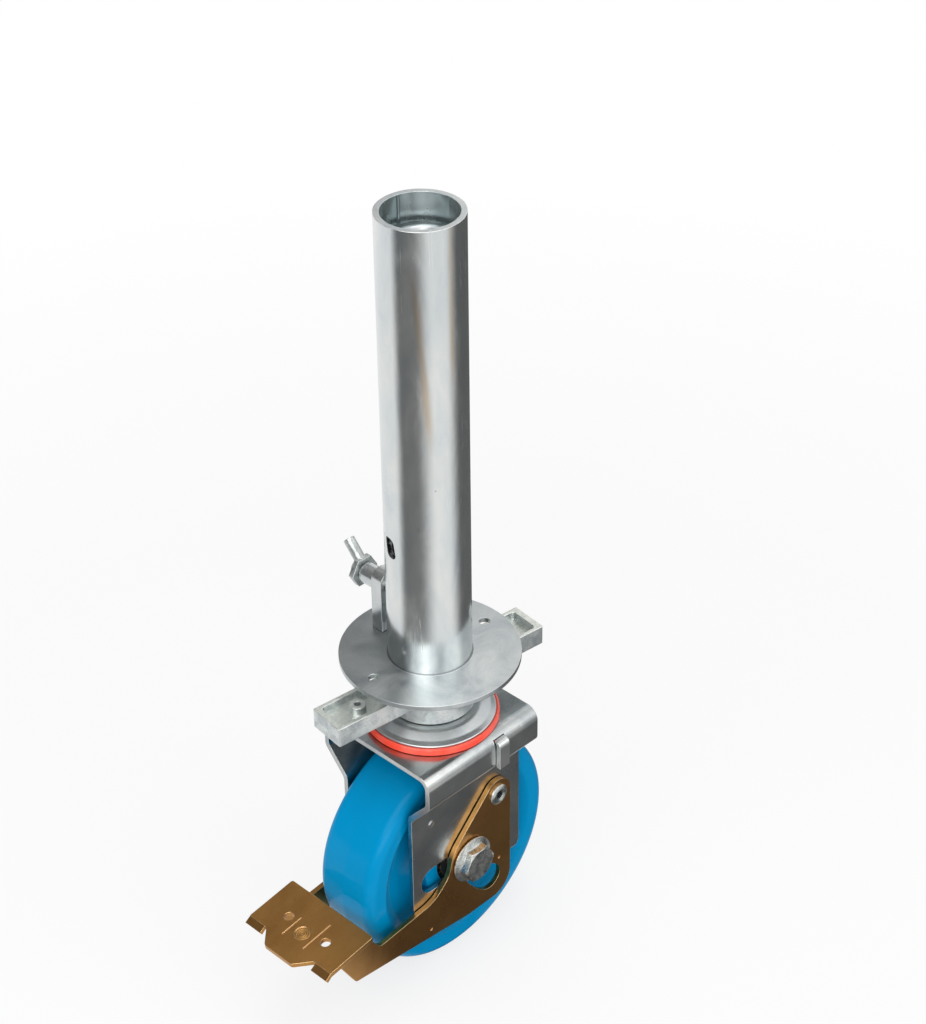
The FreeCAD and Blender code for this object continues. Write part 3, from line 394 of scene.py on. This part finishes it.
def fork_zinc(name="fork_zinc", dark=rgb(160, 166, 169), pale=rgb(196, 198, 196)):
    """Zinc plated pressing: clouds, drawn streaks, fine scratches and rubbed bends."""
    s = Shader(name)
    drawn = s.noise(60, 5, 0.6, (0.25, 1, 1), 0.6)
    patch = s.noise(24, 4, 0.55, twist=0.9)
    scratch = s.rise(s.noise(420, 2, 0.5, (0.2, 1, 0.5), 1.5), 0.62, 0.70)
    tone = s.mix(s.rise(patch, 0.34, 0.66), dark, pale)
    tone = s.over(tone, s.rise(drawn, 0.45, 0.75), 0.35, rgb(140, 146, 150))
    tone = s.over(tone, scratch, 0.18, rgb(236, 237, 237))
    tone = s.over(tone, s.edges_worn_and_lit(0.6 * MM), 0.7, rgb(240, 241, 242))
    gloss = s.plus(s.times(drawn, 0.16), 0.17)
    normal = s.bump(s.plus(drawn, scratch), 0.05, 0.2 * MM, s.rounded(0.4 * MM))
    return s.finish(normal, Base_Color=tone, Metallic=1.0, Roughness=gloss)


def bolt_zinc():
    """Mottled zinc on the fasteners, with small crystal patches."""
    s = Shader("bolt_zinc")
    grey = s.crystals(420)
    patch = s.noise(160, 5, 0.65, twist=0.7)
    tone = s.mix(s.rise(patch, 0.38, 0.62), rgb(150, 156, 152), rgb(228, 230, 227))
    tone = s.over(tone, grey, 0.25, rgb(204, 208, 204))
    tone = s.over(tone, s.edges_worn_and_lit(0.5 * MM), 0.7, rgb(244, 245, 245))
    gloss = s.plus(s.times(grey, 0.18), 0.20)
    normal = s.bump(s.plus(patch, grey), 0.14, 0.22 * MM, s.rounded(0.4 * MM))
    return s.finish(normal, Base_Color=tone, Metallic=1.0, Roughness=gloss)


def lever_yellow():
    """Yellow passivated steel: brown gold clouds, drawn lines, cut edges and a turned stamp painted
    paler as its highlight.
    """
    s = Shader("lever_yellow")
    cloud = s.noise(20, 4, 0.55, twist=0.9)
    tint = s.noise(34, 3, 0.5, twist=0.6)
    drawn = s.noise(180, 3, 0.55, (0.12, 1, 0.5))
    speck = s.noise(800, 2, 0.6)
    tone = s.mix(s.rise(cloud, 0.35, 0.68), rgb(170, 122, 66), rgb(190, 142, 82))
    tone = s.over(tone, s.rise(tint, 0.45, 0.72), 0.3, rgb(172, 116, 66))
    tone = s.over(tone, s.rise(drawn, 0.5, 0.75), 0.2, rgb(196, 156, 98))
    tone = s.over(tone, s.rise(speck, 0.60, 0.74), 0.3, rgb(106, 76, 38))
    tone = s.over(tone, s.edges_worn_and_lit(0.6 * MM), 0.9, rgb(238, 208, 158))
    away = s.add("VectorMath", operation="DISTANCE")
    s.put(s.place(), away.inputs[0])
    s.put(STAMP_AT, away.inputs[1])
    stamp = s.maths("LESS_THAN", away.outputs["Value"], STAMP_REACH)
    turned = s.maths("SINE", s.times(away.outputs["Value"], 2 * math.pi / STAMP_PITCH))
    # Painted highlight: the stamp's turned face is painted paler for its gleam
    tone = s.over(tone, stamp, 0.35, rgb(214, 168, 104))
    gloss = s.plus(s.times(cloud, 0.14), 0.22)
    skin = s.bump(s.times(turned, stamp), 1.0, 0.03 * MM, s.rounded(0.4 * MM))
    normal = s.bump(s.plus(drawn, speck), 0.08, 0.2 * MM, skin)
    return s.finish(normal, Base_Color=tone, Metallic=1.0, Roughness=gloss)


def wheel_blue():
    """Moulded plastic: even blue, faint flow marks and rolling scuffs on the tread."""
    s = Shader("wheel_blue")
    flow = s.noise(18, 3, 0.5, twist=0.8)
    scuff = s.rise(s.noise(340, 3, 0.6, (0.35, 1, 0.35), 0.8), 0.60, 0.74)
    peel = s.noise(700, 2, 0.5)
    tone = s.mix(flow, rgb(0, 124, 174), rgb(0, 136, 187))
    tone = s.over(tone, scuff, 0.04, rgb(40, 150, 205))
    gloss = s.plus(s.times(scuff, 0.06), 0.14)
    normal = s.bump(s.plus(peel, scuff), 0.04, 0.2 * MM, s.rounded(0.4 * MM))
    return s.finish(normal, Base_Color=tone, Roughness=gloss, Specular_IOR_Level=0.07)


def seal_red():
    """Red seal with a soft sheen, a little dust and edges painted paler as a highlight."""
    s = Shader("seal_red")
    dust = s.noise(120, 4, 0.6)
    tone = s.mix(s.rise(dust, 0.4, 0.75), rgb(247, 74, 52), rgb(249, 104, 84))
    # Painted highlight: the seal's edges are painted pale pink, as light on its rounding
    tone = s.over(tone, s.edges_worn_and_lit(0.5 * MM), 0.6, rgb(255, 186, 166))
    gloss = s.plus(s.times(dust, 0.2), 0.14)
    return s.finish(s.bump(dust, 0.08, 0.2 * MM, s.rounded(0.3 * MM)),
                    Base_Color=tone, Roughness=gloss)


def bearing_steel():
    """Ground steel with fine lines along the axle."""
    s = Shader("bearing_steel")
    ground = s.noise(300, 3, 0.5, (1, 0.1, 1))
    tone = s.mix(ground, rgb(196, 198, 200), rgb(222, 223, 224))
    gloss = s.plus(s.times(ground, 0.15), 0.12)
    return s.finish(s.bump(ground, 0.05, 0.1 * MM, s.rounded(0.3 * MM)),
                    Base_Color=tone, Metallic=1.0, Roughness=gloss)


def shield_black():
    """Grained black rubber."""
    s = Shader("shield_black")
    grain = s.noise(900, 3, 0.6)
    tone = s.mix(grain, rgb(28, 28, 30), rgb(52, 52, 54))
    gloss = s.plus(s.times(grain, 0.2), 0.45)
    return s.finish(s.bump(grain, 0.2, 0.1 * MM, s.rounded(0.2 * MM)),
                    Base_Color=tone, Roughness=gloss)


def brass_pad():
    """Brass with uneven wear."""
    s = Shader("brass_pad")
    turned = s.noise(400, 3, 0.6)
    tone = s.mix(turned, rgb(190, 150, 84), rgb(220, 184, 116))
    return s.finish(s.bump(turned, 0.1, 0.1 * MM, s.rounded(0.2 * MM)),
                    Base_Color=tone, Metallic=1.0, Roughness=0.32)


def spindle_steel():
    """Zinc plated rolled thread, clouded by grease."""
    s = Shader("spindle_steel")
    patch = s.noise(90, 4, 0.6, (1, 1, 0.4))
    tone = s.mix(patch, rgb(150, 153, 156), rgb(206, 208, 210))
    gloss = s.plus(s.times(patch, 0.25), 0.20)
    return s.finish(s.bump(patch, 0.12, 0.2 * MM, s.rounded(0.4 * MM)),
                    Base_Color=tone, Metallic=1.0, Roughness=gloss)


MATERIALS = {
    "zinc_tube": zinc_tube(), "zinc_plate": zinc_plate(), "zinc_cast": zinc_cast(),
    "fork_zinc": fork_zinc(), "bolt_zinc": bolt_zinc(), "lever_yellow": lever_yellow(),
    "wheel_blue": wheel_blue(), "seal_red": seal_red(), "bearing_steel": bearing_steel(),
    "shield_black": shield_black(), "brass_pad": brass_pad(), "spindle_steel": spindle_steel(),
}
SLOT_OF = {row["node"]: row["material_slot"] for row in frame["record"]["subparts"]}


def dress_nodes():
    """Gives each node its slot's material, or a variant of its own."""
    own = {
        "tube_flange": zinc_plate("zinc_flange", rgb(168, 175, 178), rgb(202, 205, 204),
                                  FLANGE_CONE, dull=0.08),
        "crown_disc": zinc_plate("zinc_crown", dull=0.10),
        "retaining_screw": zinc_cast("screw_zinc", rgb(126, 131, 132), rgb(196, 201, 200), 0.25),
        "lock_plate": fork_zinc("lock_zinc", rgb(206, 211, 210), rgb(230, 232, 230)),
    }
    for name, thing in frame["nodes"].items():
        thing.data.materials.clear()
        thing.data.materials.append(own.get(name, MATERIALS[SLOT_OF[name]]))


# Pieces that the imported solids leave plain


def piece(name, mesh, body, slot):
    thing = bpy.data.objects.new(name, mesh)
    bpy.context.scene.collection.objects.link(thing)
    mesh.materials.append(MATERIALS[slot])
    for face in mesh.polygons:
        face.use_smooth = True
    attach(thing, body)
    return thing


def ring(reaches, z):
    """Points round the axis at a height, with the radius of each step."""
    for i, reach in enumerate(reaches):
        turn = 2 * math.pi * i / THREAD_STEPS
        yield reach * math.cos(turn), reach * math.sin(turn), z


def ring_faces(first, second):
    """Quads that join two rings, given by the numbers of their first points."""
    for i in range(THREAD_STEPS):
        ahead = (i + 1) % THREAD_STEPS
        yield first + i, first + ahead, second + ahead, second + i


def thread_depth(phase):
    """Rounded trapezoid: 0 at the crest, 1 in the root, over one pitch."""
    away = abs(phase - 0.5) * 2
    return 1 - soft((away - THREAD_CREST) / THREAD_FLANK)


def soft(share):
    """Rises smoothly from 0 to 1."""
    share = min(max(share, 0.0), 1.0)
    return share * share * (3 - 2 * share)


def threaded_spindle():
    """Hollow spindle with its coarse rolled thread, in the plain spindle's place."""
    (low_x, _, bottom), (high_x, _, top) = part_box("spindle")
    outer = (high_x - low_x) / 2
    count = round((top - bottom) / THREAD_PITCH * THREAD_STATIONS)
    points, faces = [], []
    for k in range(count + 1):
        z = bottom + (top - bottom) * k / count
        limit = outer - max(0.0, SPINDLE_BEVEL - (top - z))
        phases = ((z / THREAD_PITCH - i / THREAD_STEPS) % 1 for i in range(THREAD_STEPS))
        points += ring([min(outer - THREAD_DEPTH * thread_depth(p), limit) for p in phases], z)
        if k:
            faces += ring_faces((k - 1) * THREAD_STEPS, k * THREAD_STEPS)
    for z in (top, bottom):
        start = len(points)
        points += ring([SPINDLE_BORE] * THREAD_STEPS, z)
        faces += ring_faces(start - THREAD_STEPS, start)
    faces += ring_faces(start, 0)
    mesh = bpy.data.meshes.new("spindle_thread")
    mesh.from_pydata(points, [], faces)
    thing = piece("spindle_thread", mesh, "spindle", "spindle_steel")
    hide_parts("spindle")


def grid_faces(across, along):
    """Quads of a grid of points, with across quads in each of along rows."""
    for j in range(along):
        for i in range(across):
            low = j * (across + 1) + i
            yield low, low + 1, low + across + 2, low + across + 1


def tube_seam():
    """Weld bead down the tube's bore."""
    (low_x, _, bottom), (high_x, _, top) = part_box("frame_tube")
    bore = (high_x - low_x) / 2 - TUBE_WALL
    points = []
    for k in range(SEAM_STATIONS + 1):
        z = bottom + (top - bottom) * k / SEAM_STATIONS
        wander = SEAM_WANDER * math.sin(k * SEAM_WAVE)
        for i in range(SEAM_STEPS + 1):
            across = i / SEAM_STEPS - 0.5
            reach = bore - SEAM_HIGH * math.cos(math.pi * across)
            turn = SEAM_TURN + (across * SEAM_WIDE + wander) / bore
            points.append((reach * math.cos(turn), reach * math.sin(turn), z))
    mesh = bpy.data.meshes.new("tube_seam")
    mesh.from_pydata(points, [], list(grid_faces(SEAM_STEPS, SEAM_STATIONS)))
    piece("tube_seam", mesh, "tube", "zinc_tube")


# Stage: what lies on the floor rides with the spindle, so that the wheel stays on it


def seen_white(s, share=1.0):
    """1 where the camera, metal or glass looks at the background."""
    path = s.add("LightPath")
    seen = s.maths("MAXIMUM", path.outputs["Is Camera Ray"], path.outputs["Is Glossy Ray"])
    seen = s.maths("MAXIMUM", seen, path.outputs["Is Transmission Ray"])
    return s.times(seen, share)


def stand(name, mesh):
    """A piece of the stage, which isn't part of the object."""
    thing = bpy.data.objects.new(name, mesh)
    bpy.context.scene.collection.objects.link(thing)
    return thing


def floor():
    """Plain pale floor that keeps the object's shadow and turns white further out."""
    reach = FLOOR_REACH
    mesh = bpy.data.meshes.new("floor")
    mesh.from_pydata([(-reach, -reach, 0), (reach, -reach, 0), (reach, reach, 0),
                      (-reach, reach, 0)], [], [(0, 1, 2, 3)])
    s = Shader("floor")
    lit = s.add("BsdfDiffuse", Color=rgba((FLOOR_GREY,) * 3))
    white = s.add("Emission", Color=(1, 1, 1, 1), Strength=1.0)
    far = s.ramp(s.radius(), (WHITE_NEAR, WHITE_SHARE), (WHITE_FAR, 1.0))
    s.blend(seen_white(s, far), lit, white, "OutputMaterial")
    mesh.materials.append(s.material)
    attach(stand("floor", mesh), "spindle")


def dark_card(name, spot, tone, fade):
    """A dark studio card on the white stage: seen in reflections alone.

    spot gives a point for two shares, across and along the card. fade has the soft share at
    its start, its end, its near edge and its far edge.
    """
    points, cover = [], []
    for j in range(CARD_STEPS + 1):
        for i in range(CARD_STEPS + 1):
            across, along = i / CARD_STEPS, j / CARD_STEPS
            points.append(spot(across, along))
            edges = zip((across, 1 - across, along, 1 - along), fade)
            cover.append(math.prod(soft(away / share) for away, share in edges if share))
    mesh = bpy.data.meshes.new(name)
    mesh.from_pydata(points, [], list(grid_faces(CARD_STEPS, CARD_STEPS)))
    mesh.attributes.new("cover", "FLOAT", "POINT").data.foreach_set("value", cover)
    s = Shader(name)
    clear = s.add("BsdfTransparent")
    dark = s.add("BsdfDiffuse", Color=rgba((tone,) * 3))
    s.blend(s.add("Attribute", attribute_name="cover").outputs["Fac"], clear, dark, "OutputMaterial")
    mesh.materials.append(s.material)
    thing = stand(name, mesh)
    thing.visible_camera = False
    thing.visible_diffuse = False
    thing.visible_transmission = False
    thing.visible_shadow = False
    return thing


def low_card(name, start, end, near, tone, fade):
    """Card that lies beside the object, between two turns, and leans in close to it."""
    def spot(across, along):
        reach = near + (CARD_FAR - near) * along * along
        turn = math.radians(start + (end - start) * across)
        turn -= CARD_LEAN * max(0.0, CARD_LEAN_FROM - reach)
        return reach * math.cos(turn), reach * math.sin(turn), CARD_LIFT
    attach(dark_card(name, spot, tone, fade), "spindle")


def high_card(name, start, end, top, tone, fade):
    """Card that curves up beside the object, from the floor to the angle top."""
    def spot(across, along):
        turn = math.radians(start + (end - start) * across)
        rise = math.radians(top) * along
        out = CARD_HIGH * math.cos(rise)
        return out * math.cos(turn), out * math.sin(turn), CARD_HIGH * math.sin(rise)
    dark_card(name, spot, tone, fade)


def cards():
    low_card("card_front", start=143, end=251, near=0.28, tone=0.14, fade=(0.23, 0.43, 0.2, 0))
    low_card("card_right", start=283, end=424, near=0.02, tone=0.12, fade=(0.28, 0.20, 0, 0))
    high_card("card_left", start=40, end=205, top=72, tone=0.34, fade=(0.10, 0.15, 0, 0.15))


def softbox(name, at, aim, width, height, watts):
    light = bpy.data.lights.new(name, "AREA")
    light.shape = "RECTANGLE"
    light.size = width
    light.size_y = height
    light.energy = watts
    thing = bpy.data.objects.new(name, light)
    thing.location = at
    thing.rotation_euler = (Vector(aim) - Vector(at)).to_track_quat("-Z", "Y").to_euler()
    bpy.context.scene.collection.objects.link(thing)


def lights():
    aim = (0, 0, 0.2)
    softbox("key", (-1.7, -0.6, 2.0), aim, width=2.0, height=2.0, watts=30)
    softbox("fill", (0.5, -1.9, 1.6), aim, width=2.0, height=2.0, watts=14)
    softbox("front", (-1.35, -1.30, 0.55), (0, 0, 0.17), width=1.4, height=0.7, watts=9)
    softbox("top", (0.2, 0.2, 2.6), aim, width=1.6, height=1.6, watts=16)


def world():
    """Plain soft sky, white where it is looked at."""
    sky = bpy.data.worlds.new("sky")
    bpy.context.scene.world = sky
    sky.use_nodes = True
    s = Shader("sky", sky.node_tree)
    glow = s.add("Background", Color=(1, 1, 1, 1), Strength=SKY_GLOW)
    white = s.add("Background", Color=(1, 1, 1, 1), Strength=1.0)
    s.blend(seen_white(s), glow, white, "OutputWorld")


camera()
world()
lights()
floor()
cards()
dress_nodes()
threaded_spindle()
tube_seam()
bpy.context.scene.view_settings.view_transform = "Standard"
